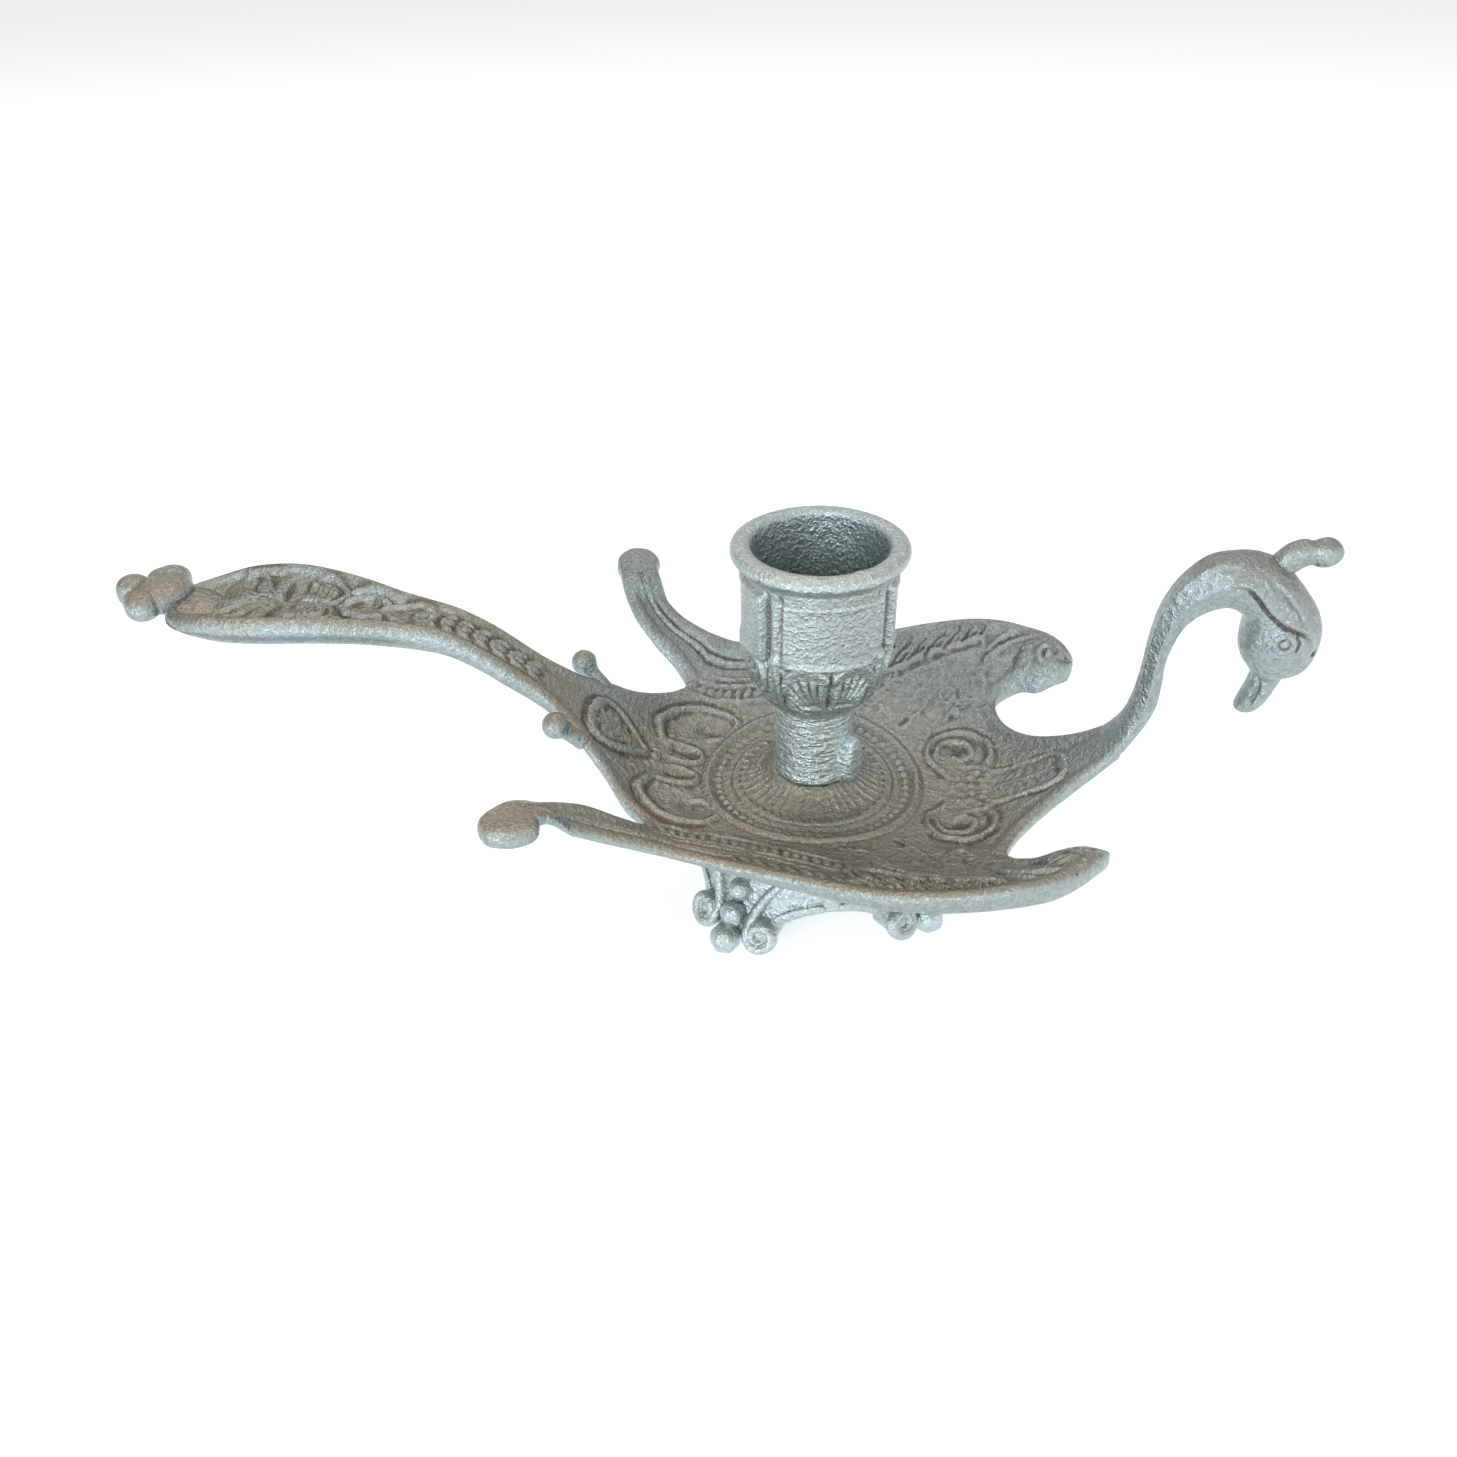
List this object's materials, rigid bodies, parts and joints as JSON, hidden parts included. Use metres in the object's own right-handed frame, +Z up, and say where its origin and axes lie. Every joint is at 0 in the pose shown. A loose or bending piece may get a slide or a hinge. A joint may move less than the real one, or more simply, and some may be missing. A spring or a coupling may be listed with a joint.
{
  "type": "candlestick",
  "caption": "Chamber candlestick cast as a swan: leaf-shaped drip tray with raised wings, tail handle, curved neck, candle socket on a short stem and a scroll-footed stand.",
  "frame": {"origin": "middle of the bounding box in plan, at the floor under the feet", "axes": "+X from the tail handle towards the swan's head, +Y across the wings, +Z up"},
  "size_m": [0.204, 0.0934, 0.0742],
  "materials": {
    "cast_tray": "as cast, dull satin, with fine pits",
    "cast_stand": "as cast, dull satin",
    "cast_socket": "as cast, filed stem",
    "screw_steel": "plain machine screw and washer"
  },
  "bodies": {
    "root": {"swan_tray": "cast_tray", "foot_stand": "cast_stand", "candle_socket": "cast_socket", "tie_screw": "screw_steel", "washer": "screw_steel"}
  },
  "joints": []
}
